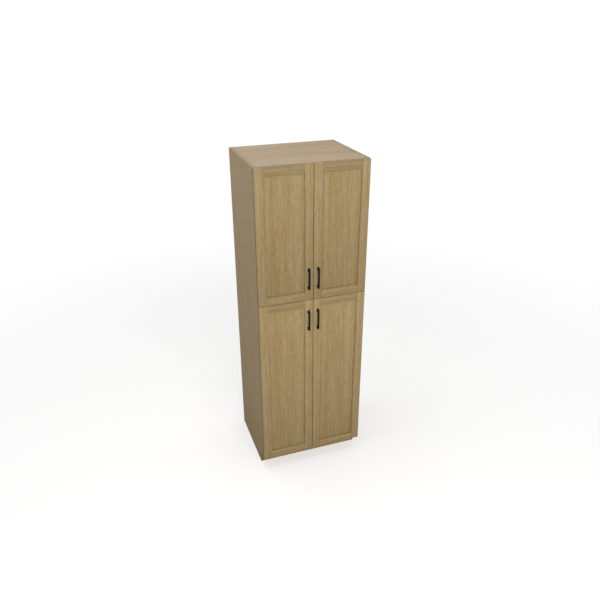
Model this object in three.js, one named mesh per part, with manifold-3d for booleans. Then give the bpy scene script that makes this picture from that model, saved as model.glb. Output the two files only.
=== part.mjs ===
// A tall broom cupboard: a frameless oak-veneer carcass on a recessed plinth, with two long doors
// below and two shorter doors above. Each door is a frame of stiles and rails round a flat panel,
// has a black bow handle on its meeting stile and hangs on concealed cup hinges.
// Millimetres. X runs to the right, Y to the back and Z up. The origin is on the floor, in the
// middle of the whole width and depth, handles included.
import * as THREE from "three";
import { mergeVertices } from "three/addons/utils/BufferGeometryUtils.js";
import Module from "manifold-3d";

const wasm = await Module();
wasm.setup();

// Driving dimensions of the carcass
const carcassWidth = 762;
const carcassDepth = 609.6;
const carcassHeight = 2286;
const boardThickness = 19;
const plinthHeight = 101.6;
const plinthRecess = 76.2;
const splitHeight = 1371.6;
const backThickness = 6;
const backInset = 19;
const grooveDepth = 9;
const fitClearance = 0.2;
const nailingRailHeight = 90;
const shelfSetback = 25;
const shelfSideClearance = 2;
const cutMargin = 1;
const gridStepsPerMillimetre = 512;
const mergeTolerance = 0.0001;

// Shelf pins and the rows of holes that take them
const pinHoleDiameter = 5;
const pinHoleDepth = 11;
const pinHolePitch = 32;
const pinHoleRowsEachWay = 4;
const pinHoleInset = 37;
const pinHoleSides = 12;
const pinReach = 9;
const pinCollarDiameter = 8;
const pinCollarThickness = 1.5;
const pinEndGap = 0.5;

// Driving dimensions of the doors
const doorThickness = 19;
const bumperGap = 2;
const doorReveal = 1.5;
const frameWidth = 57;
const panelThickness = 6;
const panelRecess = 9.5;
const doorGrooveDepth = 10;
const panelSideClearance = 0.8;
const doorEdgeEase = 1.2;
const innerEdgeEase = 0.8;
const edgeCurveSteps = 3;

// Bow handles
const handleLength = 155;
const handleWidth = 11.4;
const handleFootWidth = 14.4;
const handleReach = 23;
const handleBarDepth = 8.5;
const handleLegLength = 27;
const handleLegLean = 2;
const handleOuterRadius = 9;
const handleInnerRadius = 8;
const handleEdgeEase = 1.4;
const handleBevelSteps = 3;
const handleCurveSteps = 6;
const handleEndGap = 74.5;
const handleFromEdge = 31.5;

// Concealed hinges, placed from the edge of the door that they carry
const cupDiameter = 35;
const cupDepth = 12;
const cupCentreInset = 22.5;
const cupWall = 1;
const cupSides = 24;
const flangeThickness = 1.2;
const flangeRimWidth = 0.8;
const flangeLength = 62;
const flangeWidth = 15;
const flangeCornerRadius = 5;
const flangeOffset = 6;
const hingeScrewSpacing = 48;
const hingeScrewDiameter = 4;
const hingeScrewSides = 10;
const hingeInset = 95;
const upperHingeCount = 2;
const lowerHingeCount = 3;
const plateLength = 46;
const plateThickness = 3;
const plateWidth = 14;
const plateWingHeight = 50;
const plateWingWidth = 15;
const plateCornerRadius = 5;
const plateScrewInset = 37;
const plateScrewSpacing = 32;
const armWidth = 13;
const armThickness = 9;
const noseLength = 20;
const armBackInset = 66;
const noseReach = 9;
const armStandOff = 2.5;
const noseFarOffset = 14.5;
const noseRadius = 3;
const armSlotLength = 12;
const armSlotWidth = 5;

// Places worked out from the dimensions above
const doorStandOff = bumperGap + doorThickness;
const frontY = (handleReach + doorStandOff - carcassDepth) / 2;
const backY = frontY + carcassDepth;
const leftX = -carcassWidth / 2;
const insideWidth = carcassWidth - 2 * boardThickness;
const doorFaceY = frontY - doorStandOff;
const doorBackY = frontY - bumperGap;
const doorWidth = carcassWidth / 2 - 2 * doorReveal;
const backPanelY = backY - backInset - backThickness;
const bottomTopZ = plinthHeight + boardThickness;
const topUndersideZ = carcassHeight - boardThickness;
const deckTopZ = splitHeight + boardThickness / 2;
const pinRadius = (pinHoleDiameter - fitClearance) / 2;
const shelfPinZ = (deckTopZ + topUndersideZ) / 2;
const pinHoleColumns = [frontY + pinHoleInset, backPanelY - pinHoleInset];

// Materials
function finish(colour, roughness, metalness) {
  return new THREE.MeshStandardMaterial({ color: colour, roughness, metalness });
}
const oak = () => finish("#b09a72", 0.55, 0);
const oakDark = () => finish("#a58f69", 0.6, 0);
const blackMetal = () => finish("#17171a", 0.45, 0.6);
const nickel = () => finish("#b9bbbd", 0.3, 0.9);

// Solids: three.js geometry turned into a manifold solid, and back into a mesh. Every vertex is
// rounded to a fine grid that 32-bit numbers hold exactly, so that faces that seat are flush.
function solidFrom(geometry) {
  const bare = geometry.index ? geometry.toNonIndexed() : geometry;
  bare.deleteAttribute("normal");
  bare.deleteAttribute("uv");
  const places = bare.attributes.position.array;
  for (let i = 0; i < places.length; i += 1) {
    places[i] = Math.round(places[i] * gridStepsPerMillimetre) / gridStepsPerMillimetre;
  }
  const merged = mergeVertices(bare, mergeTolerance);
  return new wasm.Manifold(
    new wasm.Mesh({
      numProp: 3,
      vertProperties: merged.attributes.position.array,
      triVerts: new Uint32Array(merged.index.array),
    }),
  );
}

function geometryFrom(solid) {
  const mesh = solid.getMesh();
  const geometry = new THREE.BufferGeometry();
  geometry.setAttribute("position", new THREE.BufferAttribute(mesh.vertProperties, mesh.numProp));
  geometry.setIndex(new THREE.BufferAttribute(mesh.triVerts, 1));
  geometry.computeVertexNormals();
  return geometry;
}

function box(x0, x1, y0, y1, z0, z1) {
  const geometry = new THREE.BoxGeometry(x1 - x0, y1 - y0, z1 - z0);
  geometry.translate((x0 + x1) / 2, (y0 + y1) / 2, (z0 + z1) / 2);
  return solidFrom(geometry);
}

// An outline of [across, along] points; a third value rounds that corner by its radius
function outline(points) {
  const shape = new THREE.Shape();
  points.forEach(([a, b, radius], i) => {
    const before = points[(i + points.length - 1) % points.length];
    const after = points[(i + 1) % points.length];
    const corner = new THREE.Vector2(a, b);
    if (!radius) {
      if (i === 0) shape.moveTo(a, b);
      else shape.lineTo(a, b);
      return;
    }
    const from = new THREE.Vector2(before[0], before[1]).sub(corner).setLength(radius).add(corner);
    const to = new THREE.Vector2(after[0], after[1]).sub(corner).setLength(radius).add(corner);
    if (i === 0) shape.moveTo(from.x, from.y);
    else shape.lineTo(from.x, from.y);
    shape.quadraticCurveTo(a, b, to.x, to.y);
  });
  shape.closePath();
  return shape;
}

function extruded(points, length) {
  return new THREE.ExtrudeGeometry(outline(points), {
    depth: length,
    bevelEnabled: false,
    curveSegments: edgeCurveSteps,
  });
}

// A section drawn in X and Y, run up from z0 to z1
function runUp(points, z0, z1) {
  const geometry = extruded(points, z1 - z0);
  geometry.translate(0, 0, z0);
  return solidFrom(geometry);
}

// A section drawn in Y and Z, run across from x0 to x1
function runAcross(points, x0, x1) {
  const geometry = extruded(points, x1 - x0);
  geometry.applyMatrix4(new THREE.Matrix4().set(0, 0, 1, x0, 1, 0, 0, 0, 0, 1, 0, 0, 0, 0, 0, 1));
  return solidFrom(geometry);
}

// A section drawn in X and Z, run back from y0 to y1
function runBack(points, y0, y1) {
  const geometry = extruded(points, y1 - y0);
  geometry.applyMatrix4(new THREE.Matrix4().set(1, 0, 0, 0, 0, 0, -1, y1, 0, 1, 0, 0, 0, 0, 0, 1));
  return solidFrom(geometry);
}

function roundedOutline(a, b, width, height, radius) {
  return [
    [a - width / 2, b - height / 2, radius],
    [a + width / 2, b - height / 2, radius],
    [a + width / 2, b + height / 2, radius],
    [a - width / 2, b + height / 2, radius],
  ];
}

// A round bar or hole along X or Y
function roundAlongX(radius, x0, x1, y, z, sides) {
  const geometry = new THREE.CylinderGeometry(radius, radius, x1 - x0, sides);
  geometry.rotateZ(Math.PI / 2);
  geometry.translate((x0 + x1) / 2, y, z);
  return solidFrom(geometry);
}

function roundAlongY(radius, y0, y1, x, z, sides) {
  const geometry = new THREE.CylinderGeometry(radius, radius, y1 - y0, sides);
  geometry.translate(x, (y0 + y1) / 2, z);
  return solidFrom(geometry);
}

const cupboard = new THREE.Group();

// Every piece is drawn where a left one stands; a right one is its mirror image
function add(group, name, solid, material, isRight = false) {
  const mesh = new THREE.Mesh(geometryFrom(solid), material);
  mesh.name = name;
  mesh.scale.x = isRight ? -1 : 1;
  group.add(mesh);
}

// Side panel: full height, cut back at the foot for the plinth, grooved for the back and drilled
// with two columns of shelf-pin holes in the upper compartment. Drawn as the left one.
function sidePanel() {
  const innerX = leftX + boardThickness;
  const section = [
    [frontY, plinthHeight],
    [frontY + plinthRecess, plinthHeight],
    [frontY + plinthRecess, 0],
    [backY, 0],
    [backY, carcassHeight],
    [frontY, carcassHeight],
  ];
  let panel = runAcross(section, leftX, innerX);
  const groove = box(
    innerX - grooveDepth,
    innerX + cutMargin,
    backPanelY - fitClearance,
    backPanelY + backThickness,
    plinthHeight,
    topUndersideZ + grooveDepth,
  );
  panel = panel.subtract(groove);
  const holeX0 = innerX - pinHoleDepth;
  const holeX1 = innerX + cutMargin;
  for (const y of pinHoleColumns) {
    for (let row = -pinHoleRowsEachWay; row <= pinHoleRowsEachWay; row += 1) {
      const z = shelfPinZ + row * pinHolePitch;
      panel = panel.subtract(roundAlongX(pinHoleDiameter / 2, holeX0, holeX1, y, z, pinHoleSides));
    }
  }
  return panel;
}

// Top and bottom boards run the whole depth and hold the back panel in a groove
function grooved(z0, z1, grooveOnTop) {
  const board = box(-insideWidth / 2, insideWidth / 2, frontY, backY, z0, z1);
  const grooveZ0 = grooveOnTop ? z1 - grooveDepth : z0 - cutMargin;
  const grooveZ1 = grooveOnTop ? z1 + cutMargin : z0 + grooveDepth;
  const groove = box(
    -insideWidth / 2 - cutMargin,
    insideWidth / 2 + cutMargin,
    backPanelY - fitClearance,
    backPanelY + backThickness,
    grooveZ0,
    grooveZ1,
  );
  return board.subtract(groove);
}

function plainBoard(y0, y1, z0, z1) {
  return box(-insideWidth / 2, insideWidth / 2, y0, y1, z0, z1);
}

// Shelf pin: a steel peg with a collar that stops against the side panel. Drawn as a left one.
function shelfPin(y) {
  const wallX = leftX + boardThickness;
  const pegX0 = wallX - pinHoleDepth + pinEndGap;
  const peg = roundAlongX(pinRadius, pegX0, wallX + pinReach, y, shelfPinZ, pinHoleSides);
  const collarX1 = wallX + pinCollarThickness;
  const collarRadius = pinCollarDiameter / 2;
  const collar = roundAlongX(collarRadius, wallX, collarX1, y, shelfPinZ, pinHoleSides);
  return peg.add(collar);
}

// Back panel: thin, held in the grooves of the side, top and bottom boards
function backPanel() {
  const half = insideWidth / 2 + grooveDepth - panelSideClearance;
  const z0 = bottomTopZ - grooveDepth;
  const z1 = topUndersideZ + grooveDepth - panelSideClearance;
  return box(-half, half, backPanelY, backPanelY + backThickness, z0, z1);
}

// Adjustable shelf: it rests on four pins, clear of the sides and of the doors' hinges
function adjustableShelf() {
  const half = insideWidth / 2 - shelfSideClearance;
  const z0 = shelfPinZ + pinRadius;
  const y0 = frontY + shelfSetback;
  const y1 = backPanelY - shelfSideClearance;
  return box(-half, half, y0, y1, z0, z0 + boardThickness);
}

function buildCarcass() {
  const group = new THREE.Group();
  const panel = sidePanel();
  add(group, "left_side_panel", panel, oak());
  add(group, "right_side_panel", panel, oak(), true);
  add(group, "top_panel", grooved(topUndersideZ, carcassHeight, false), oak());
  add(group, "bottom_panel", grooved(plinthHeight, bottomTopZ, true), oak());
  const deck = plainBoard(frontY, backPanelY, deckTopZ - boardThickness, deckTopZ);
  add(group, "middle_deck", deck, oak());
  add(group, "back_panel", backPanel(), oakDark());
  const toeKickY = frontY + plinthRecess;
  const toeKick = plainBoard(toeKickY, toeKickY + boardThickness, 0, plinthHeight);
  add(group, "toe_kick_board", toeKick, oakDark());
  const railY = backY - backInset;
  const topRail = plainBoard(railY, backY, topUndersideZ - nailingRailHeight, topUndersideZ);
  add(group, "top_nailing_rail", topRail, oakDark());
  const bottomRail = plainBoard(railY, backY, bottomTopZ, bottomTopZ + nailingRailHeight);
  add(group, "bottom_nailing_rail", bottomRail, oakDark());
  add(group, "adjustable_shelf", adjustableShelf(), oak());
  ["front", "back"].forEach((place, i) => {
    const pin = shelfPin(pinHoleColumns[i]);
    add(group, "shelf_pin_left_" + place, pin, nickel());
    add(group, "shelf_pin_right_" + place, pin, nickel(), true);
  });
  cupboard.add(group);
}

// Stile of a left door: it runs the whole height, has a groove down its inner edge for the panel
// and the rails' tongues, and its face edges are eased.
function stile(x0, x1, z0, z1, grooveOnRight) {
  const grooveY0 = doorFaceY + panelRecess - fitClearance;
  const grooveY1 = doorFaceY + panelRecess + panelThickness;
  const outerX = grooveOnRight ? x0 : x1;
  const innerX = grooveOnRight ? x1 : x0;
  const grooveX = grooveOnRight ? x1 - doorGrooveDepth : x0 + doorGrooveDepth;
  const section = [
    [outerX, doorFaceY, doorEdgeEase],
    [outerX, doorBackY, doorEdgeEase],
    [innerX, doorBackY],
    [innerX, grooveY1],
    [grooveX, grooveY1],
    [grooveX, grooveY0],
    [innerX, grooveY0],
    [innerX, doorFaceY, innerEdgeEase],
  ];
  return runUp(section, z0, z1);
}

// Rail: it sits between the stiles with a stub tongue at each end in their grooves
function rail(x0, x1, z0, z1, grooveOnTop) {
  const grooveY0 = doorFaceY + panelRecess - fitClearance;
  const grooveY1 = doorFaceY + panelRecess + panelThickness;
  const outerZ = grooveOnTop ? z0 : z1;
  const innerZ = grooveOnTop ? z1 : z0;
  const grooveZ = grooveOnTop ? z1 - doorGrooveDepth : z0 + doorGrooveDepth;
  const section = [
    [doorFaceY, outerZ, doorEdgeEase],
    [doorBackY, outerZ, doorEdgeEase],
    [doorBackY, innerZ],
    [grooveY1, innerZ],
    [grooveY1, grooveZ],
    [grooveY0, grooveZ],
    [grooveY0, innerZ],
    [doorFaceY, innerZ, innerEdgeEase],
  ];
  const body = runAcross(section, x0, x1);
  const tongueReach = doorGrooveDepth - panelSideClearance;
  const tongueX0 = x0 - tongueReach;
  const tongueX1 = x1 + tongueReach;
  const tongueY0 = doorFaceY + panelRecess;
  const tongueZ0 = Math.min(outerZ, grooveZ);
  const tongueZ1 = Math.max(outerZ, grooveZ);
  return body.add(box(tongueX0, tongueX1, tongueY0, grooveY1, tongueZ0, tongueZ1));
}

// Bow handle: one cast bar that turns down into two legs and widens towards its feet, from an outline
// of height and reach
function handle(x, z) {
  const half = handleLength / 2;
  const inside = half - handleLegLength;
  const underside = handleReach - handleBarDepth;
  const ease = handleEdgeEase;
  const points = [
    [-half + ease, 0],
    [-inside - ease, 0],
    [-inside - handleLegLean - ease, underside + ease, handleInnerRadius],
    [inside + handleLegLean + ease, underside + ease, handleInnerRadius],
    [inside + ease, 0],
    [half - ease, 0],
    [half - handleLegLean - ease, handleReach - ease, handleOuterRadius],
    [-half + handleLegLean + ease, handleReach - ease, handleOuterRadius],
  ];
  const geometry = new THREE.ExtrudeGeometry(outline(points), {
    depth: handleWidth - 2 * ease,
    bevelEnabled: true,
    bevelSize: ease,
    bevelThickness: ease,
    bevelSegments: handleBevelSteps,
    curveSegments: handleCurveSteps,
  });
  geometry.translate(0, 0, -handleWidth / 2 + ease);
  const spots = geometry.attributes.position;
  const draft = (handleFootWidth / handleWidth - 1) / handleReach;
  for (let i = 0; i < spots.count; i += 1) {
    spots.setZ(i, spots.getZ(i) * (1 + draft * (handleReach - spots.getY(i))));
  }
  geometry.applyMatrix4(
    new THREE.Matrix4().set(0, 0, 1, x, 0, -1, 0, doorFaceY, 1, 0, 0, z, 0, 0, 0, 1),
  );
  const bow = solidFrom(geometry);
  const y0 = doorFaceY - handleReach;
  return bow.intersect(box(x - handleWidth, x + handleWidth, y0, doorFaceY, z - half, z + half));
}

// Hinge cup of a left door: a turned steel bowl let into the stile, with a flange on its back face
// that two screws hold
function hingeCup(cupX, z) {
  const outer = cupDiameter / 2 - fitClearance / 2;
  const inner = outer - cupWall;
  const rim = cupDiameter / 2 + flangeRimWidth;
  const bottom = cupDepth - fitClearance;
  const profile = [
    [0, -bottom],
    [outer, -bottom],
    [outer, 0],
    [rim, 0],
    [rim, flangeThickness],
    [inner, flangeThickness],
    [inner, cupWall - bottom],
    [0, cupWall - bottom],
  ];
  const turned = new THREE.LatheGeometry(
    profile.map(([r, h]) => new THREE.Vector2(r, h)),
    cupSides,
  );
  turned.translate(cupX, doorBackY, z);
  const bowl = solidFrom(turned);
  const wingX = cupX + flangeOffset;
  const wingOutline = roundedOutline(wingX, z, flangeWidth, flangeLength, flangeCornerRadius);
  const wing = runBack(wingOutline, doorBackY, doorBackY + flangeThickness);
  const mouthY0 = doorBackY - cutMargin;
  const mouthY1 = doorBackY + flangeThickness + cutMargin;
  const mouth = roundAlongY(inner, mouthY0, mouthY1, cupX, z, cupSides);
  let cup = bowl.add(wing.subtract(mouth));
  for (const side of [-1, 1]) {
    const screwZ = z + (side * hingeScrewSpacing) / 2;
    const hole = roundAlongY(hingeScrewDiameter / 2, mouthY0, mouthY1, wingX, screwZ, hingeScrewSides);
    cup = cup.subtract(hole);
  }
  return cup;
}

// Hinge arm of a left door: a pressed arm on a winged plate, which two screws hold to the side
// panel. Its nose reaches into the cup.
function hingeArm(z) {
  const wallX = leftX + boardThickness;
  const plateY0 = frontY + plateScrewInset - plateWidth;
  const plate = box(
    wallX,
    wallX + plateThickness,
    plateY0,
    plateY0 + plateLength,
    z - plateWidth / 2,
    z + plateWidth / 2,
  );
  const screwY = frontY + plateScrewInset;
  const wingOutline = roundedOutline(screwY, z, plateWingWidth, plateWingHeight, plateCornerRadius);
  let wing = runAcross(wingOutline, wallX, wallX + plateThickness);
  for (const side of [-1, 1]) {
    const screwZ = z + (side * plateScrewSpacing) / 2;
    const hole = roundAlongX(
      hingeScrewDiameter / 2,
      wallX - cutMargin,
      wallX + plateThickness + cutMargin,
      screwY,
      screwZ,
      hingeScrewSides,
    );
    wing = wing.subtract(hole);
  }
  const armX0 = wallX + armStandOff;
  const armX1 = armX0 + armThickness;
  const noseY0 = frontY - noseReach;
  const section = [
    [armX0, noseY0, noseRadius],
    [wallX + noseFarOffset, noseY0, noseRadius],
    [wallX + noseFarOffset, noseY0 + noseLength, noseRadius],
    [armX1, noseY0 + noseLength + armThickness],
    [armX1, frontY + armBackInset, noseRadius],
    [armX0, frontY + armBackInset],
  ];
  const arm = runUp(section, z - armWidth / 2, z + armWidth / 2);
  const slot = box(
    wallX + plateThickness,
    armX1 + cutMargin,
    screwY - armSlotLength / 2,
    screwY + armSlotLength / 2,
    z - armSlotWidth / 2,
    z + armSlotWidth / 2,
  );
  return arm.subtract(slot).add(plate).add(wing);
}

// One door, drawn as the left one and mirrored for the right: five oak members, the handle near the
// split between the doors, and hinges spread evenly over the height
function buildDoor(name, z0, z1, hingeCount, handleAtFoot, isRight) {
  const group = new THREE.Group();
  const x0 = leftX + doorReveal;
  const x1 = x0 + doorWidth;
  const innerX0 = x0 + frameWidth;
  const innerX1 = x1 - frameWidth;
  const handleZ = handleAtFoot
    ? z0 + handleEndGap + handleLength / 2
    : z1 - handleEndGap - handleLength / 2;
  const member = (part, solid, material) => add(group, name + "_" + part, solid, material, isRight);

  let hingeStile = stile(x0, innerX0, z0, z1, true);
  const cupX = x0 + cupCentreInset;
  const span = z1 - z0 - 2 * hingeInset;
  for (let i = 0; i < hingeCount; i += 1) {
    const z = z0 + hingeInset + (span * i) / (hingeCount - 1);
    const boreY1 = doorBackY + cutMargin;
    const bore = roundAlongY(cupDiameter / 2, doorBackY - cupDepth, boreY1, cupX, z, cupSides);
    hingeStile = hingeStile.subtract(bore);
    const place = hingeCount === 2 ? ["bottom", "top"][i] : ["bottom", "middle", "top"][i];
    member("hinge_cup_" + place, hingeCup(cupX, z), nickel());
    member("hinge_arm_" + place, hingeArm(z), nickel());
  }
  member("hinge_stile", hingeStile, oak());
  member("meeting_stile", stile(innerX1, x1, z0, z1, false), oak());
  member("bottom_rail", rail(innerX0, innerX1, z0, z0 + frameWidth, true), oak());
  member("top_rail", rail(innerX0, innerX1, z1 - frameWidth, z1, false), oak());
  const panelReach = doorGrooveDepth - panelSideClearance;
  const panel = box(
    innerX0 - panelReach,
    innerX1 + panelReach,
    doorFaceY + panelRecess,
    doorFaceY + panelRecess + panelThickness,
    z0 + frameWidth - panelReach,
    z1 - frameWidth + panelReach,
  );
  member("panel", panel, oak());
  member("handle", handle(x1 - handleFromEdge, handleZ), blackMetal());
  cupboard.add(group);
}

buildCarcass();
for (const isRight of [false, true]) {
  const side = isRight ? "right" : "left";
  const lowerZ0 = plinthHeight + doorReveal;
  const lowerZ1 = splitHeight - doorReveal;
  buildDoor("lower_" + side + "_door", lowerZ0, lowerZ1, lowerHingeCount, false, isRight);
  const upperZ0 = splitHeight + doorReveal;
  const upperZ1 = carcassHeight - doorReveal;
  buildDoor("upper_" + side + "_door", upperZ0, upperZ1, upperHingeCount, true, isRight);
}

export default cupboard;
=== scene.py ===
import math

import bmesh
import bpy
from mathutils import Matrix, Vector


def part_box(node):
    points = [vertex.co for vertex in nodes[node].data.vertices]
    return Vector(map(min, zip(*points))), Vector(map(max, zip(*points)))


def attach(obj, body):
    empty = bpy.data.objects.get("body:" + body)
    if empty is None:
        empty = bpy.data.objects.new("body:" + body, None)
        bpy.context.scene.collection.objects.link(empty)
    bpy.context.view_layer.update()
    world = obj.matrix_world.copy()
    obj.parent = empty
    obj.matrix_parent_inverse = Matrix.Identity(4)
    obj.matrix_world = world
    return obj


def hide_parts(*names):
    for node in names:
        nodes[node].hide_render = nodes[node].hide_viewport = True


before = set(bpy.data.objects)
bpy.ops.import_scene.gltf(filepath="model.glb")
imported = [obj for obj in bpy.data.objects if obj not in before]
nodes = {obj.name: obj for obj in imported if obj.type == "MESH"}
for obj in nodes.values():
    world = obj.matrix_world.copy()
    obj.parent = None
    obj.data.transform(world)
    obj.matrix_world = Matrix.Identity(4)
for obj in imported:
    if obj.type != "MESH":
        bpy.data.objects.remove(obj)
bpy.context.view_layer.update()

# Where the camera stands: in front of the cupboard's left-hand corner, a little over head height
# above its middle, looking down on its top. The place and lens give the photograph's outline.
view_azimuth = math.radians(-19.05)
view_elevation = math.radians(26.29)
view_roll = math.radians(-0.26)
camera_place = Vector((-1.2401, -3.6219, 3.1154))
lens_mm = 35.22
film_mm = 36.0
nearest_seen = 0.05
farthest_seen = 100


def stand_camera():
    back = Vector((
        math.sin(view_azimuth) * math.cos(view_elevation),
        -math.cos(view_azimuth) * math.cos(view_elevation),
        math.sin(view_elevation),
    ))
    level = Vector((0, 0, 1)).cross(back).normalized()
    upright = back.cross(level)
    right = level * math.cos(view_roll) + upright * math.sin(view_roll)
    up = upright * math.cos(view_roll) - level * math.sin(view_roll)
    data = bpy.data.cameras.new("camera")
    data.sensor_width = film_mm
    data.lens = lens_mm
    data.clip_start = nearest_seen
    data.clip_end = farthest_seen
    camera = bpy.data.objects.new("camera", data)
    camera.matrix_world = Matrix((
        (right.x, up.x, back.x, camera_place.x),
        (right.y, up.y, back.y, camera_place.y),
        (right.z, up.z, back.z, camera_place.z),
        (0, 0, 0, 1),
    ))
    bpy.context.scene.collection.objects.link(camera)
    bpy.context.scene.camera = camera


stand_camera()

# The studio: a plain white floor that takes the cupboard's shadow, a white surround, and two soft
# lamps, one in front and one overhead. The camera and reflections see floor and surround as white,
# while the light that reaches the cupboard from them is plain and weaker.
surround_light = 0.42
floor_whiteness = 0.80
floor_glow = 0.46
floor_near = 1.6
floor_far = 5.0
floor_half_width = 30.0
white = (1, 1, 1, 1)


def add_node(tree, kind, feeds=None, **settings):
    """A node with its settings. Each of its sockets is fed by a value or by another's socket."""
    made = tree.nodes.new("ShaderNode" + kind)
    for key, value in settings.items():
        setattr(made, key, value)
    for socket, value in (feeds or {}).items():
        if isinstance(value, bpy.types.NodeSocket):
            tree.links.new(value, made.inputs[socket])
        else:
            made.inputs[socket].default_value = value
    return made


def arithmetic(tree, operation, first, second=0.0, **settings):
    """One step of arithmetic on sockets and numbers. Some steps need only the first."""
    return add_node(tree, "Math", {0: first, 1: second}, operation=operation, **settings).outputs[0]


def remapped(tree, socket, given, wanted, smooth=False):
    """Turns the given range of a socket into the wanted one, and holds its ends beyond that."""
    made = add_node(tree, "MapRange", {
        "Value": socket,
        "From Min": given[0], "From Max": given[1],
        "To Min": wanted[0], "To Max": wanted[1],
    }, interpolation_type="SMOOTHSTEP" if smooth else "LINEAR")
    return made.outputs["Result"]


def new_finish(name):
    """An empty material, its nodes, and the socket that says where on the object a point is."""
    finish = bpy.data.materials.new(name)
    finish.use_nodes = True
    tree = finish.node_tree
    tree.nodes.clear()
    return finish, tree, add_node(tree, "TexCoord").outputs["Object"]


def seen_directly(tree):
    """1 where the camera, a reflection or a view through glass looks, 0 for light that bounces."""
    path = add_node(tree, "LightPath").outputs
    first = arithmetic(tree, "ADD", path["Is Camera Ray"], path["Is Glossy Ray"])
    return arithmetic(tree, "ADD", first, path["Is Transmission Ray"], use_clamp=True)


def make_surround():
    world = bpy.data.worlds.new("white_surround")
    world.use_nodes = True
    tree = world.node_tree
    tree.nodes.clear()
    light = add_node(tree, "Background", {"Color": white, "Strength": surround_light})
    backdrop = add_node(tree, "Background", {"Color": white, "Strength": 1.0})
    mixed = add_node(tree, "MixShader", {0: seen_directly(tree), 1: light.outputs[0],
                                         2: backdrop.outputs[0]})
    add_node(tree, "OutputWorld", {"Surface": mixed.outputs[0]})
    bpy.context.scene.world = world


def white_floor_paint():
    """Matt white near the cupboard, with a little glow, and pure white to the eye farther away."""
    paint, tree, place = new_finish("white_floor_paint")
    matt = add_node(tree, "BsdfDiffuse", {
        "Color": (floor_whiteness, floor_whiteness, floor_whiteness, 1)})
    seen = seen_directly(tree)
    glow = add_node(tree, "Emission", {
        "Color": white, "Strength": arithmetic(tree, "MULTIPLY", seen, floor_glow)})
    near = add_node(tree, "AddShader", {0: matt.outputs[0], 1: glow.outputs[0]})
    reach = add_node(tree, "VectorMath", {0: place}, operation="LENGTH").outputs["Value"]
    away = remapped(tree, reach, (floor_near, floor_far), (0.0, 1.0), smooth=True)
    far = add_node(tree, "Emission", {"Color": white, "Strength": 1.0})
    both = add_node(tree, "MixShader", {0: arithmetic(tree, "MULTIPLY", away, seen),
                                        1: near.outputs[0], 2: far.outputs[0]})
    add_node(tree, "OutputMaterial", {"Surface": both.outputs[0]})
    return paint


def make_floor():
    mesh = bpy.data.meshes.new("studio_floor")
    half = floor_half_width
    mesh.from_pydata([(-half, -half, 0), (half, -half, 0), (half, half, 0), (-half, half, 0)],
                     [], [(0, 1, 2, 3)])
    mesh.materials.append(white_floor_paint())
    floor = bpy.data.objects.new("studio_floor", mesh)
    bpy.context.scene.collection.objects.link(floor)


def hang_lamp(name, place, aim, watts, width):
    data = bpy.data.lights.new(name, "AREA")
    data.shape = "SQUARE"
    data.size = width
    data.energy = watts
    lamp = bpy.data.objects.new(name, data)
    lamp.location = place
    lamp.rotation_euler = (Vector(aim) - Vector(place)).to_track_quat("-Z", "Y").to_euler()
    bpy.context.scene.collection.objects.link(lamp)


make_surround()
make_floor()
hang_lamp("front_lamp", place=(-0.45, -5.6, 3.3), aim=(0, -0.3, 1.3), watts=133, width=3.5)
hang_lamp("top_lamp", place=(-0.9, 0.1, 5.4), aim=(0, 0, 2.0), watts=45, width=2.6)
bpy.context.scene.view_settings.view_transform = "Standard"

# Side panels: full-height boards faced with oak veneer, edge-banded, and notched at the foot for
# the toe kick. The veneer is a greyer cut than that of the doors, laid up from leaves side by side
# with its grain upright, and lacquered satin. A painted fall of light and painted shade darken it
# towards the floor.
axis_number = {"x": 0, "y": 1, "z": 2}
board_edge_ease = 0.0006
edge_ease_steps = 2
sharp_edge_angle = math.radians(50)
# How far in from its edges a board darkens: partly dark edge and joint lines, partly painted shade
# in the gaps, recesses and corners.
dark_edge_and_shade_reach = 0.0045

# How far one sheet of veneer lies from the next in the log, and one leaf from the next in a sheet
sheet_step_along = 3.17
sheet_step_across = 1.31
axis_step = 0.37
leaf_step = 0.731

# How far the grain sways to the side, and how wide the growth rings are and how far they wander.
# The early wood begins in the given part of each ring.
sway_reach = 0.010
ring_width = 0.0050
ring_wander = 0.010
earlywood_part = (0.45, 0.75)

# Grain marks: cells per metre across and along the grain, detail, and strength of the detail. A
# board's broad streaks have their own cells across.
sway_marks = (4.0, 0.9, 2.0, 0.5)
ring_wander_marks = (45.0, 0.8, 1.0, 0.5)
dash_marks = (150.0, 10.0, 3.0, 0.6)
fibre_marks = (620.0, 12.0, 2.0, 0.6)
vessel_marks = (1500.0, 50.0, 1.0, 0.5)
fleck_marks = (330.0, 15.0, 2.0, 0.5)
broad_marks_along = (0.7, 3.0, 0.50)

# Marks that follow the growth rings: cells per ring and per metre along, detail, and its strength
growth_marks = (3.7, 2.2, 5.0, 0.76)
growth_sheet_step = 1.9
tick_marks = (5.3, 26.0, 2.0, 0.6)
tick_sheet_step = 2.3

# How much each kind of mark lightens or darkens the wood, round its middle tone
middle_tone = 0.525
growth_weight = 1.5
dash_weight = 0.12
tick_weight = 0.58
earlywood_weight = -0.10
earlywood_middle = 0.60
fibre_weight = 0.60
leaf_weight = 0.04
dark_stop, plain_stop, pale_stop = 0.18, 0.5, 0.84

# Which parts of the noises are warm streaks, pores and pale flecks, and how strongly they show
growth_warmth, tick_warmth = 0.68, 0.32
warm_limits, warm_strength = (0.43, 0.64), 0.55
pore_limits, pore_strength = (0.605, 0.665), 0.45
pores_in_earlywood = 0.08
fleck_limits, fleck_strength = (0.58, 0.72), 0.30
fibre_height, pore_height = 0.5, -0.8
grain_bump, grain_depth = 0.35, 0.0002
lacquer_roughness = (0.46, 0.60)


def stain(red, green, blue):
    """A colour as a maker's swatch gives it, 0 to 255, turned into the light that it returns."""
    def channel(value):
        share = value / 255
        return share / 12.92 if share <= 0.04045 else ((share + 0.055) / 1.055) ** 2.4
    return (channel(red), channel(green), channel(blue), 1.0)


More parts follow.
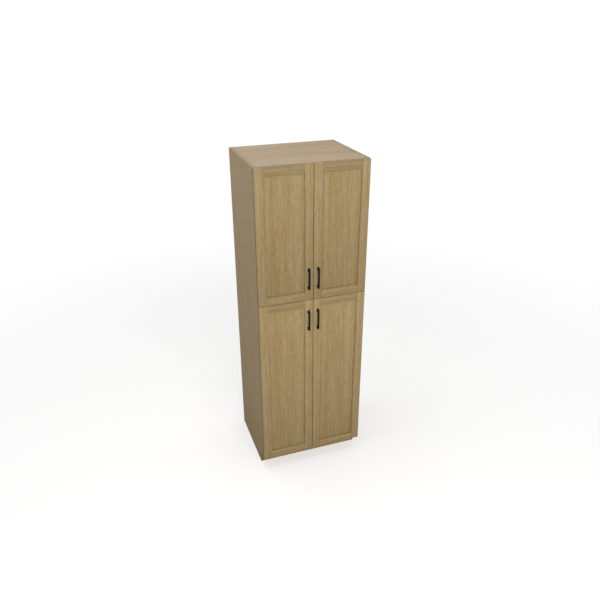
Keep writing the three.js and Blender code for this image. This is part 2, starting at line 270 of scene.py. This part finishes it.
def sum_of(tree, *parts):
    """The sum of sockets and numbers."""
    total = parts[0]
    for part in parts[1:]:
        total = arithmetic(tree, "ADD", total, part)
    return total


def scaled(tree, socket, factor):
    return arithmetic(tree, "MULTIPLY", socket, factor)


def swing(tree, socket, weight, middle=0.5):
    """How far a socket is to either side of its middle, times a weight."""
    return scaled(tree, sum_of(tree, socket, -middle), weight)


def above(tree, socket, limits):
    """0 below the limits, 1 above them, and a smooth step between."""
    return remapped(tree, socket, limits, (0.0, 1.0), smooth=True)


def distance_from(tree, socket, line):
    return arithmetic(tree, "ABSOLUTE", arithmetic(tree, "SUBTRACT", socket, line))


def distance_from_edges(tree, place, low, high):
    """How far a point of a board's surface is from the nearest of the board's own edges."""
    gaps = []
    for axis in range(3):
        centre = (low[axis] + high[axis]) / 2
        half = (high[axis] - low[axis]) / 2
        away = distance_from(tree, place.outputs[axis], centre)
        gaps.append(arithmetic(tree, "SUBTRACT", half, away))
    lesser = arithmetic(tree, "MINIMUM", gaps[0], gaps[1])
    greater = arithmetic(tree, "MAXIMUM", gaps[0], gaps[1])
    return arithmetic(tree, "MAXIMUM", lesser, arithmetic(tree, "MINIMUM", greater, gaps[2]))


def noise(tree, place, cells, detail, roughness=0.5):
    return add_node(tree, "TexNoise", {"Vector": place, "Scale": cells, "Detail": detail,
                                       "Roughness": roughness})


def grain_noise(tree, across, along, marks):
    """Noise drawn out along the grain."""
    across_cells, along_cells, detail, roughness = marks
    drawn = add_node(tree, "CombineXYZ", {
        0: scaled(tree, across[0], across_cells),
        1: scaled(tree, across[1], across_cells),
        2: scaled(tree, along, along_cells),
    })
    return noise(tree, drawn.outputs[0], 1.0, detail, roughness).outputs["Fac"]


def ring_noise(tree, ring, along, sheet_place, marks):
    """Noise that runs straight along each growth ring and changes from one ring to the next. It
    gives a tone, and a tint that changes on its own."""
    ring_cells, along_cells, detail, roughness = marks
    strand = add_node(tree, "CombineXYZ", {
        0: scaled(tree, ring, ring_cells),
        1: sheet_place,
        2: scaled(tree, along, along_cells),
    })
    made = noise(tree, strand.outputs[0], 1.0, detail, roughness)
    tints = add_node(tree, "SeparateColor", {0: made.outputs["Color"]})
    return made.outputs["Fac"], tints.outputs[0], tints.outputs[1]


def mixed_colour(tree, share, first, second, blend="MIX"):
    """The first colour with a share of the second. The node has its colours at sockets 6 and 7."""
    made = add_node(tree, "Mix", {0: share, 6: first, 7: second}, data_type="RGBA",
                    blend_type=blend)
    return made.outputs[2]


def lay_finish(tree, colour, roughness, height, bump_strength, bump_depth, own_values):
    """Puts a finish on the surface: its colour, roughness and bump, and its shader's own values."""
    bump = add_node(tree, "Bump", {"Strength": bump_strength, "Distance": bump_depth,
                                   "Height": height})
    surface = add_node(tree, "BsdfPrincipled", {
        "Base Color": colour, "Roughness": roughness, "Normal": bump.outputs["Normal"],
        **own_values})
    add_node(tree, "OutputMaterial", {"Surface": surface.outputs[0]})


def across_the_grain(tree, place, grain, sheet, leaf_axis, leaf_width):
    """Both places across the grain, which jump from leaf to leaf, and each leaf's own tone."""
    across, leaf_tone = [], None
    for name, axis in axis_number.items():
        if name == grain:
            continue
        socket = place.outputs[axis]
        shift = sheet * sheet_step_across + axis * axis_step
        if name == leaf_axis:
            leaf = arithmetic(tree, "FLOOR",
                              arithmetic(tree, "DIVIDE", sum_of(tree, socket, shift), leaf_width))
            leaf_tone = add_node(tree, "TexWhiteNoise", {"W": leaf},
                                 noise_dimensions="1D").outputs["Value"]
            socket = sum_of(tree, socket, scaled(tree, leaf, leaf_step))
        across.append(sum_of(tree, socket, shift))
    return across, leaf_tone


def board_shade(tree, place, low, high, fade, edge_tone, joints):
    """How much of its colour the wood keeps: less near its edges, partly dark edge lines and partly
    painted shade; less or more along given lines, dark joints, painted shade and painted
    highlights; and less towards the foot, a painted fall of light.
    """
    away_from_edges = above(tree, distance_from_edges(tree, place, low, high), (0.0, dark_edge_and_shade_reach))
    dark_edges_and_painted_light = remapped(tree, away_from_edges, (0.0, 1.0), (edge_tone, 1.0))
    for axis, line, reach, line_tone in joints:
        away = distance_from(tree, place.outputs[axis_number[axis]], line)
        line_change = remapped(tree, away, (0.0, reach), (line_tone, 1.0), smooth=True)
        dark_edges_and_painted_light = arithmetic(tree, "MULTIPLY", dark_edges_and_painted_light, line_change)
    kept = {}
    for channel, share in enumerate(fade):
        drift = remapped(tree, place.outputs[2], (low[2], high[2]), (1 - share, 1 + share))
        kept[channel] = arithmetic(tree, "MULTIPLY", dark_edges_and_painted_light, drift)
    return add_node(tree, "CombineColor", kept).outputs[0]


def oak_veneer(name, low, high, grain, sheet, tones, broad_figure=(26.0, 0.12), leaf_axis=None,
               leaf_width=0.16, fade=(0, 0, 0), edge_tone=0.8, sheen=0.2, bands=(), joints=()):
    """Satin-lacquered oak veneer for one board, whose box is low to high, with its grain along one
    axis. sheet is the place in the log that it was cut from. A wide board is laid up from leaves
    along leaf_axis. broad_figure is the cells per metre and the strength of its broadest streaks.
    fade is a painted fall of light: how much the board darkens towards its foot and
    lightens towards its top, in red, green and blue. bands are streaks in it, and also painted
    highlights and painted shade: axis, centre, half width, and shift towards the pale wood.
    joints are lines along which it darkens or lightens: dark joints where another
    part meets it, painted shade beside a part that shades it and towards the floor, and a painted
    highlight where its ledge stands: axis, place, reach, and tone."""
    veneer, tree, coordinates = new_finish(name)
    place = add_node(tree, "SeparateXYZ", {0: coordinates})
    along = sum_of(tree, place.outputs[axis_number[grain]], sheet * sheet_step_along)
    across, leaf_tone = across_the_grain(tree, place, grain, sheet, leaf_axis, leaf_width)
    bend = swing(tree, grain_noise(tree, across, along, sway_marks), sway_reach)
    across = [sum_of(tree, socket, bend) for socket in across]

    broad_cells, broad_weight = broad_figure
    broad = grain_noise(tree, across, along, (broad_cells, *broad_marks_along))
    wander = scaled(tree, grain_noise(tree, across, along, ring_wander_marks), ring_wander)
    turns = scaled(tree, sum_of(tree, across[0], across[1], wander), 1 / ring_width)
    ring = arithmetic(tree, "FLOOR", turns)
    earlywood = above(tree, arithmetic(tree, "FRACT", turns), earlywood_part)
    _, streaks, streak_tint = ring_noise(tree, ring, along, sheet * growth_sheet_step, growth_marks)
    ticks, _, tick_tint = ring_noise(tree, ring, along, sheet * tick_sheet_step, tick_marks)
    warmth = sum_of(tree, scaled(tree, streak_tint, growth_warmth),
                    scaled(tree, tick_tint, tick_warmth))
    dashes = grain_noise(tree, across, along, dash_marks)
    fibres = grain_noise(tree, across, along, fibre_marks)
    vessels = grain_noise(tree, across, along, vessel_marks)
    pores = above(tree, sum_of(tree, vessels, scaled(tree, earlywood, pores_in_earlywood)),
                  pore_limits)
    flecks = above(tree, grain_noise(tree, across, along, fleck_marks), fleck_limits)

    tone = sum_of(
        tree,
        middle_tone,
        swing(tree, broad, broad_weight),
        swing(tree, streaks, growth_weight),
        swing(tree, dashes, dash_weight),
        swing(tree, ticks, tick_weight),
        swing(tree, earlywood, earlywood_weight, earlywood_middle),
        swing(tree, fibres, fibre_weight),
    )
    if leaf_tone is not None:
        tone = sum_of(tree, tone, swing(tree, leaf_tone, leaf_weight))
    for axis, centre, half_width, change in bands:
        away = distance_from(tree, sum_of(tree, place.outputs[axis_number[axis]], bend), centre)
        tone = sum_of(tree, tone, remapped(tree, away, (0.0, half_width), (change, 0.0),
                                           smooth=True))
    ramp = add_node(tree, "ValToRGB", {0: tone})
    stops = ramp.color_ramp.elements
    stops[0].position, stops[0].color = dark_stop, tones["dark"]
    stops[1].position, stops[1].color = pale_stop, tones["pale"]
    stops.new(plain_stop).color = tones["plain"]
    warm = scaled(tree, above(tree, warmth, warm_limits), warm_strength)
    colour = mixed_colour(tree, warm, ramp.outputs["Color"], tones["warm"])
    colour = mixed_colour(tree, scaled(tree, pores, pore_strength), colour, tones["pore"])
    colour = mixed_colour(tree, scaled(tree, flecks, fleck_strength), colour, tones["pale"])
    shade = board_shade(tree, place, low, high, fade, edge_tone, joints)
    colour = mixed_colour(tree, 1.0, colour, shade, "MULTIPLY")

    height = sum_of(tree, scaled(tree, fibres, fibre_height), scaled(tree, pores, pore_height))
    roughness = remapped(tree, streaks, (0.0, 1.0), lacquer_roughness)
    lay_finish(tree, colour, roughness, height, grain_bump, grain_depth,
               {"Specular IOR Level": sheen})
    return veneer


def ease_edges(board, width):
    """Takes the sharpness off a board's edges, as a pass with fine paper does."""
    ease = board.modifiers.new("eased_edges", "BEVEL")
    ease.width = width
    ease.segments = edge_ease_steps
    ease.limit_method = "ANGLE"
    ease.angle_limit = sharp_edge_angle
    ease.use_clamp_overlap = True


def lay_veneer(node_name, grain, sheet, tones, hidden_rim=0.0, **cut):
    """Veneers one board. hidden_rim is how much of a panel's rim is out of sight in the grooves."""
    board = nodes[node_name]
    low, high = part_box(node_name)
    if hidden_rim:
        low = (low[0] + hidden_rim, low[1], low[2] + hidden_rim)
        high = (high[0] - hidden_rim, high[1], high[2] - hidden_rim)
    board.data.materials.clear()
    board.data.materials.append(
        oak_veneer(node_name + "_veneer", low, high, grain, sheet, tones, **cut))
    ease_edges(board, board_edge_ease)


side_tones = {"dark": stain(144, 121, 79), "plain": stain(164, 142, 100),
              "pale": stain(184, 165, 133), "warm": stain(174, 140, 91),
              "pore": stain(108, 89, 56)}
wide_leaf = 0.21
# Painted light on the side panels: their banded edges darken, partly dark banding lines and partly
# painted shade; a painted fall of light darkens them from top to foot; and painted shade darkens
# them towards the floor.
banded_edge_and_shade_tone = 0.6
side_fade = (0.22, 0.27, 0.42)
side_sheen = 0.08
floor_painted_shade = (0.60, 0.87)
for number, side in enumerate(("left", "right"), start=1):
    lay_veneer(side + "_side_panel", grain="z", sheet=number, tones=side_tones, leaf_axis="y",
               leaf_width=wide_leaf, fade=side_fade, edge_tone=banded_edge_and_shade_tone, sheen=side_sheen,
               joints=[("z", 0.0, *floor_painted_shade)])

# Toe-kick board: an oak-veneered board set back under the doors, between the two side panels. It is
# cut from the same greyer veneer, with its grain level.
lay_veneer("toe_kick_board", grain="x", sheet=8, tones=side_tones)

# Top board: lies between the side panels and is screwed through them. Its veneer has broad, soft
# streaks from left to right. Its tones are paler and greyer than the side panels', which paints a
# sheen of light on the top, and painted shade darkens its right-hand end.
# The top's tones are the side veneer made paler and greyer: a painted sheen of light.
top_tones_with_painted_sheen = {"dark": stain(163, 141, 106), "plain": stain(181, 161, 131),
             "pale": stain(195, 179, 156), "warm": stain(189, 159, 114),
             "pore": stain(130, 110, 78)}
top_figure = (8.0, 1.1)
# Painted shade over the right-hand end of the top.
right_end_painted_shade = ("x", 0.36, 0.70, -0.07)
lay_veneer("top_panel", grain="x", sheet=3, tones=top_tones_with_painted_sheen, leaf_axis="y", leaf_width=wide_leaf,
           edge_tone=banded_edge_and_shade_tone, broad_figure=top_figure, bands=[right_end_painted_shade])

# Inside boards: the bottom, the fixed deck where the doors divide, the loose shelf, the thin back
# in its grooves, and the two rails behind it that take the wall screws. All are veneered alike,
# with upright grain on the back and level grain on the rest.
inside_tones = {"dark": stain(150, 131, 98), "plain": stain(168, 149, 116),
                "pale": stain(184, 168, 139), "warm": stain(171, 148, 110),
                "pore": stain(116, 98, 68)}
# Their edges darken, partly dark edge lines and partly painted shade in the corners.
lay_veneer("bottom_panel", grain="x", sheet=4, tones=inside_tones, leaf_axis="y")
lay_veneer("middle_deck", grain="x", sheet=5, tones=inside_tones, leaf_axis="y")
lay_veneer("adjustable_shelf", grain="x", sheet=6, tones=inside_tones, leaf_axis="y")
lay_veneer("back_panel", grain="z", sheet=7, tones=inside_tones, leaf_axis="x")
lay_veneer("top_nailing_rail", grain="x", sheet=9, tones=inside_tones)
lay_veneer("bottom_nailing_rail", grain="x", sheet=10, tones=inside_tones)

# Door stiles: oak-veneered uprights that run the full height of each door, grooved inside for the
# rails and the panel. The oak is warmer than the carcass's. Each door's parts are cut from one
# sheet. Every stile has a painted highlight in a band beside its left edge, and each door a
# painted fall of light, lighter at the top and darker towards its foot.
door_sheets = {"upper_left_door": 94, "upper_right_door": 136,
               "lower_left_door": 178, "lower_right_door": 109}
sheet_step = 0.4
# A painted fall of light on each door: lighter at the top and darker towards its foot, in red,
# green and blue.
door_fades = {"upper": (0.12, 0.125, 0.155), "lower": (0.14, 0.14, 0.16)}
door_tones = {"dark": stain(148, 123, 76), "plain": stain(167, 146, 102),
              "pale": stain(184, 167, 131), "warm": stain(183, 142, 79),
              "pore": stain(112, 87, 49)}
# A painted highlight in a band beside each stile's left edge and under each rail's upper edge, the
# sides that face the light.
lit_edge_highlight_in = 0.017
lit_edge_highlight_reach = 0.016
stile_painted_highlight = 0.13
# The stiles' edges darken: painted shade in the gaps and the panel's recess, partly dark edge
# lines.
stile_edge_tone = 0.92
outer_edge_band = (0.008, 0.93)


def finish_stiles(door, sheet):
    for number, part in enumerate(("hinge_stile", "meeting_stile")):
        left_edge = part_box(door + "_" + part)[0][0]
        outer_left = part == "hinge_stile" and "left" in door
        lay_veneer(door + "_" + part, "z", sheet + number * sheet_step, door_tones,
                   fade=door_fades[door.split("_")[0]], edge_tone=stile_edge_tone,
                   bands=[("x", left_edge + lit_edge_highlight_in, lit_edge_highlight_reach, stile_painted_highlight)],
                   joints=[("x", left_edge, *outer_edge_band)] if outer_left else [])


for door, sheet in door_sheets.items():
    finish_stiles(door, sheet)

# Door rails: oak-veneered bars, held level between the stiles by stub tongues. They are a darker
# cut, with dark lines where they meet the stiles and a painted highlight in a band under the upper
# edge. A painted highlight lies on the bottom rail's upper edge, where its ledge catches the light.
rail_tones = {"dark": stain(141, 118, 73), "plain": stain(160, 139, 97),
              "pale": stain(177, 160, 125), "warm": stain(176, 136, 77),
              "pore": stain(105, 82, 46)}
rail_painted_highlight = 0.22
# The rails' edges darken: painted shade in the gaps and under the ledges, partly dark edge lines.
rail_edge_tone = 0.96
rail_joint = (0.006, 0.76)
# A painted highlight on the bottom rail's ledge, where it catches the light.
rail_ledge_painted_highlight = (0.0015, 1.16)


def frame_edges(door):
    """The stiles' edges towards the panel, on the left and on the right."""
    left, right = sorted(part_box(door + "_" + part) for part in ("hinge_stile", "meeting_stile"))
    return left[1][0], right[0][0]


def finish_rails(door, sheet):
    for number, part in enumerate(("top_rail", "bottom_rail")):
        upper_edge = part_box(door + "_" + part)[1][2]
        joints = [("x", edge, *rail_joint) for edge in frame_edges(door)]
        if part == "bottom_rail":
            joints.append(("z", upper_edge, *rail_ledge_painted_highlight))
        lay_veneer(door + "_" + part, "x", sheet + (2 + number) * sheet_step, rail_tones,
                   edge_tone=rail_edge_tone, joints=joints,
                   bands=[("z", upper_edge - lit_edge_highlight_in, lit_edge_highlight_reach, rail_painted_highlight)])


for door, sheet in door_sheets.items():
    finish_rails(door, sheet)

# Door panels: thin veneered boards that float in the grooves of stiles and rails. Each is laid up
# from narrow upright leaves, with a few broad pale and dark bands. Painted shade darkens it where
# the left stile and the top rail shade it, and a painted fall of light makes it lighter at the top
# and darker towards its foot.
narrow_leaf = 0.13
panel_hidden_rim = 0.0095
panel_bands = ((0.11, 0.03, 0.07), (0.225, 0.05, -0.10), (0.41, 0.04, 0.05), (0.79, 0.095, 0.13))
# Painted shade where the left stile and the top rail shade the panel.
panel_stile_painted_shade = (0.013, 0.82)
panel_head_painted_shade = (0.006, 0.94)


def finish_panel(door, sheet):
    low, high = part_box(door + "_panel")
    width = high[0] - low[0]
    lay_veneer(door + "_panel", "z", sheet + 4 * sheet_step, door_tones, leaf_axis="x",
               leaf_width=narrow_leaf, fade=door_fades[door.split("_")[0]],
               hidden_rim=panel_hidden_rim, edge_tone=1.0,
               bands=[("x", low[0] + share * width, half * width, change)
                      for share, half, change in panel_bands],
               joints=[("x", frame_edges(door)[0], *panel_stile_painted_shade),
                       ("z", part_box(door + "_top_rail")[0][2], *panel_head_painted_shade)])


for door, sheet in door_sheets.items():
    finish_panel(door, sheet)

# Handles: a cast bow, one bar that turns down into a wider foot at each end, powder-coated matt
# black. Two screws through the meeting stile hold each one.
powder_black = stain(8, 8, 8)
rubbed_black = stain(15, 15, 14)
rubbed_cells, rubbed_detail, rubbed_limits = 60.0, 3.0, (0.45, 0.75)
grit_cells, grit_detail = 1400.0, 2.0
grit_bump, fine_depth = 0.25, 0.0001
coat_roughness = (0.50, 0.66)
coat_sheen = 0.12
handle_bar_depth = 0.0085
handle_leg_length = 0.027
handle_lean = 0.002
handle_outer_radius = 0.009
handle_inner_radius = 0.008
handle_front_half_width = 0.0057
handle_foot_half_width = 0.0072
section_squareness = 0.72
section_points = 24
leg_stations = 8
corner_stations = 10
bar_stations = 16


def powder_coat(name):
    coat, tree, place = new_finish(name)
    grit = noise(tree, place, grit_cells, grit_detail).outputs["Fac"]
    rubbed = noise(tree, place, rubbed_cells, rubbed_detail).outputs["Fac"]
    colour = mixed_colour(tree, above(tree, rubbed, rubbed_limits), powder_black, rubbed_black)
    roughness = remapped(tree, rubbed, (0.0, 1.0), coat_roughness)
    lay_finish(tree, colour, roughness, grit, grit_bump, fine_depth,
               {"Specular IOR Level": coat_sheen})
    return coat


def arc_points(centre, radius, start, end, steps):
    """Points on an arc in the handle's own plane of height and reach, from one angle to another."""
    points = []
    for step in range(steps + 1):
        angle = math.radians(start + (end - start) * step / steps)
        points.append((centre[0] + radius * math.cos(angle), centre[1] + radius * math.sin(angle)))
    return points


def between(first, last, steps):
    """Points from first towards last, without last."""
    return [tuple(a + (b - a) * step / steps for a, b in zip(first, last)) for step in range(steps)]


def bow_outline(half, radius, foot_half, turn_reach):
    """One side of the bow, foot to foot: out along a leg, round, up the bar, round, and back."""
    centre = (half - radius, turn_reach - radius)
    upper = between((foot_half, 0.0), (half, centre[1]), leg_stations)
    upper += arc_points(centre, radius, 0, 90, corner_stations)
    lower = [(-height, out) for height, out in upper]
    middle = between(lower[-1], upper[-1], bar_stations)[1:]
    return lower + middle + upper[::-1]


def squared_off(turn):
    """A sine or cosine, pushed out so that a round section becomes a squarer one."""
    return math.copysign(abs(turn) ** section_squareness, turn)


def skin(shape, rings):
    """Covers the space between each ring of points and the next."""
    for first, second in zip(rings, rings[1:]):
        for number in range(len(first)):
            after = (number + 1) % len(first)
            shape.faces.new((first[number], first[after], second[after], second[number]))


def new_piece(name, shape, finish):
    """Makes a finished shape into a piece of the scene."""
    mesh = bpy.data.meshes.new(name)
    shape.to_mesh(mesh)
    shape.free()
    mesh.materials.append(finish)
    piece = bpy.data.objects.new(name, mesh)
    bpy.context.scene.collection.objects.link(piece)
    return piece


def cast_bow(door):
    low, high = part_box(door + "_handle")
    half = (high[2] - low[2]) / 2
    reach = high[1] - low[1]
    centre_x = (low[0] + high[0]) / 2
    centre_z = (low[2] + high[2]) / 2
    inner_half = half - handle_leg_length
    outer = bow_outline(half - handle_lean, handle_outer_radius, half, reach)
    inner = bow_outline(inner_half + handle_lean, handle_inner_radius, inner_half,
                        reach - handle_bar_depth)
    bow = bmesh.new()
    rings = []
    for (outer_z, outer_out), (inner_z, inner_out) in zip(outer, inner):
        ring = []
        for number in range(section_points):
            angle = 2 * math.pi * number / section_points
            through, sideways = squared_off(math.cos(angle)), squared_off(math.sin(angle))
            z = (outer_z + inner_z) / 2 + through * (outer_z - inner_z) / 2
            out = (outer_out + inner_out) / 2 + through * (outer_out - inner_out) / 2
            taper = out / reach
            half_width = handle_foot_half_width * (1 - taper) + handle_front_half_width * taper
            ring.append(bow.verts.new((centre_x + sideways * half_width, high[1] - out,
                                       centre_z + z)))
        rings.append(ring)
    skin(bow, rings)
    bow.faces.new(rings[0][::-1])
    bow.faces.new(rings[-1])
    bmesh.ops.recalc_face_normals(bow, faces=bow.faces)
    for face in bow.faces:
        face.smooth = len(face.verts) == 4
    piece = new_piece(door + "_bow", bow, black_coat)
    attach(piece, door)
    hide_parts(door + "_handle")


black_coat = powder_coat("matt_black_powder_coat")
for door in door_sheets:
    cast_bow(door)

# Hinges: concealed cup hinges, pressed from steel and nickel-plated. The cups sit in bores in the
# hinge stiles, and the arms are screwed to the side panels through their winged plates.
pressed_edge_ease = 0.0003


def mottled_finish(name, cells, detail, darker, paler, roughness, bump_strength, own_values):
    """A finish whose colour, roughness and bump all change a little with the same fine mottling."""
    finish, tree, place = new_finish(name)
    mottling = noise(tree, place, cells, detail).outputs["Fac"]
    lay_finish(tree, mixed_colour(tree, mottling, darker, paler),
               remapped(tree, mottling, (0.0, 1.0), roughness), mottling, bump_strength,
               fine_depth, own_values)
    return finish


def plate_with_nickel(kind):
    for name, piece in nodes.items():
        if kind in name:
            piece.data.materials.clear()
            piece.data.materials.append(nickel)
            ease_edges(piece, pressed_edge_ease)


nickel = mottled_finish("nickel_plating", cells=220.0, detail=4.0, darker=stain(170, 168, 164),
                        paler=stain(196, 194, 190), roughness=(0.24, 0.42), bump_strength=0.15,
                        own_values={"Metallic": 1.0})
plate_with_nickel("hinge_cup")
plate_with_nickel("hinge_arm")

# Shelf pins: turned steel pegs with a collar, nickel-plated like the hinges. They push into the
# drilled holes of the side panels, and the shelf lies on them.
plate_with_nickel("shelf_pin")

# Screws: pan heads with a cross recess, pressed and nickel-plated. Two hold each hinge cup to its
# stile, two hold each hinge plate to the side panel, and two hold each handle from behind.
screw_head_radius = 0.0036
screw_head_height = 0.0016
screw_edge_height = 0.0005
screw_crown_roundness = 0.6
screw_crown_steps = 6
screw_sides = 24
screw_seat = 0.0003
recess_length = 0.0038
recess_width = 0.0009
recess_depth = 0.0010
first_turn_degrees, turn_step_degrees = 11, 37
cup_screw_from_edge = 0.0075
cup_screw_half_spacing = 0.024
plate_screw_half_spacing = 0.016
plate_screw_from_front = 0.037
plate_thickness = 0.003
handle_screw_half_spacing = 0.064


def turn_button(shape, profile, crown_height, sides, stand):
    """Adds a domed button: rings of points up its profile, closed below, with a crown on top."""
    rings = []
    for radius, height in profile:
        angles = [2 * math.pi * side / sides for side in range(sides)]
        rings.append([shape.verts.new(stand(radius * math.cos(angle), radius * math.sin(angle),
                                            height)) for angle in angles])
    skin(shape, rings)
    crown = shape.verts.new(stand(0, 0, crown_height))
    for side in range(sides):
        shape.faces.new((rings[-1][side], rings[-1][(side + 1) % sides], crown))
    shape.faces.new(rings[0][::-1])


def cross_recess():
    """The two crossed bars that the punch leaves in the head."""
    cross = bmesh.new()
    bars = ((recess_length, recess_width), (recess_width, recess_length))
    for length, width in bars:
        bar = bmesh.ops.create_cube(cross, size=1.0)["verts"]
        bmesh.ops.scale(cross, vec=(length, width, 2 * recess_depth), verts=bar)
    bmesh.ops.translate(cross, vec=(0, 0, screw_head_height), verts=cross.verts)
    return cross


def screw_head_mesh():
    """One screw head that stands on z = 0 and faces up."""
    profile = [(screw_head_radius, 0.0), (screw_head_radius, screw_edge_height)]
    for step in range(1, screw_crown_steps):
        angle = math.radians(90 * step / screw_crown_steps)
        rise = (screw_head_height - screw_edge_height) * math.sin(angle)
        profile.append((screw_head_radius * math.cos(angle) ** screw_crown_roundness,
                        screw_edge_height + rise))
    head = bmesh.new()
    turn_button(head, profile, screw_head_height, screw_sides, lambda x, y, z: (x, y, z))
    blank = new_piece("screw_blank", head, nickel)
    cutter = new_piece("cross_recess", cross_recess(), nickel)
    cut = blank.modifiers.new("recess", "BOOLEAN")
    cut.object = cutter
    cut.operation = "DIFFERENCE"
    cut.use_self = True
    shaped = blank.evaluated_get(bpy.context.evaluated_depsgraph_get())
    finished = bpy.data.meshes.new_from_object(shaped)
    for made in (cutter, blank):
        bpy.data.objects.remove(made)
    return finished


def drive_screws(name, body, spots, facing):
    """A set of screw heads on one piece, each standing on its spot and facing one way."""
    tilt = Vector((0, 0, 1)).rotation_difference(Vector(facing)).to_matrix().to_4x4()
    screws = bmesh.new()
    for number, spot in enumerate(spots):
        turn = math.radians(turn_step_degrees * number + first_turn_degrees)
        one_screw = cross_head.copy()
        one_screw.transform(Matrix.Translation(spot) @ tilt @ Matrix.Rotation(turn, 4, "Z"))
        screws.from_mesh(one_screw)
        bpy.data.meshes.remove(one_screw)
    piece = new_piece(name, screws, nickel)
    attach(piece, body)


def below_and_above(x, y, low, high, half_spacing):
    """The spots of two screws, half_spacing below and above the middle of a piece's box."""
    middle = (low[2] + high[2]) / 2
    return [(x, y, middle - half_spacing), (x, y, middle + half_spacing)]


cross_head = screw_head_mesh()
backwards = (0, 1, 0)
front_edge_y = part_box("left_side_panel")[0][1]
for name in nodes:
    low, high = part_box(name)
    if "hinge_cup" in name:
        door, place = name.split("_hinge_cup_")
        x = high[0] - cup_screw_from_edge if "left" in door else low[0] + cup_screw_from_edge
        spots = below_and_above(x, high[1] - screw_seat, low, high, cup_screw_half_spacing)
        drive_screws(door + "_cup_screws_" + place, door, spots, backwards)
    if "hinge_arm" in name:
        door, place = name.split("_hinge_arm_")
        inward = 1 if "left" in door else -1
        wall_x = low[0] if inward > 0 else high[0]
        spots = below_and_above(wall_x + inward * (plate_thickness - screw_seat),
                                front_edge_y + plate_screw_from_front,
                                low, high, plate_screw_half_spacing)
        drive_screws(door + "_plate_screws_" + place, "cupboard", spots, (inward, 0, 0))
for door in door_sheets:
    low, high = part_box(door + "_handle")
    back_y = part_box(door + "_meeting_stile")[1][1]
    spots = below_and_above((low[0] + high[0]) / 2, back_y - screw_seat,
                            low, high, handle_screw_half_spacing)
    drive_screws(door + "_handle_screws", door, spots, backwards)

# Door bumpers: small domed buttons of soft clear plastic, stuck to the back of each meeting stile.
# They fill the gap between door and carcass and stop the door with hardly a sound.
bumper_radius = 0.0038
bumper_height = 0.0019
bumper_roundness = 0.7
bumper_steps = 7
bumper_sides = 28
bumper_from_edge = 0.018
bumper_heights = {"upper": (1.3771, 2.2765), "lower": (0.1120, 1.3661)}
clear_plastic = mottled_finish("soft_clear_plastic", cells=500.0, detail=3.0,
                               darker=stain(196, 194, 186), paler=stain(222, 220, 213),
                               roughness=(0.25, 0.42), bump_strength=0.1,
                               own_values={"Subsurface Weight": 0.4, "Subsurface Scale": 0.002})


def stick_bumpers(door):
    low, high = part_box(door + "_meeting_stile")
    x = high[0] - bumper_from_edge if "left" in door else low[0] + bumper_from_edge
    profile = []
    for step in range(bumper_steps):
        angle = math.radians(90 * step / bumper_steps)
        profile.append((bumper_radius * math.cos(angle) ** bumper_roundness,
                        bumper_height * math.sin(angle)))
    buttons = bmesh.new()
    for z in bumper_heights[door.split("_")[0]]:
        turn_button(buttons, profile, bumper_height, bumper_sides,
                    lambda side, up, out: (x + side, high[1] + out, z + up))
    bmesh.ops.recalc_face_normals(buttons, faces=buttons.faces)
    for face in buttons.faces:
        face.smooth = len(face.verts) < 5
    piece = new_piece(door + "_bumpers", buttons, clear_plastic)
    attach(piece, door)


for door in door_sheets:
    stick_bumpers(door)
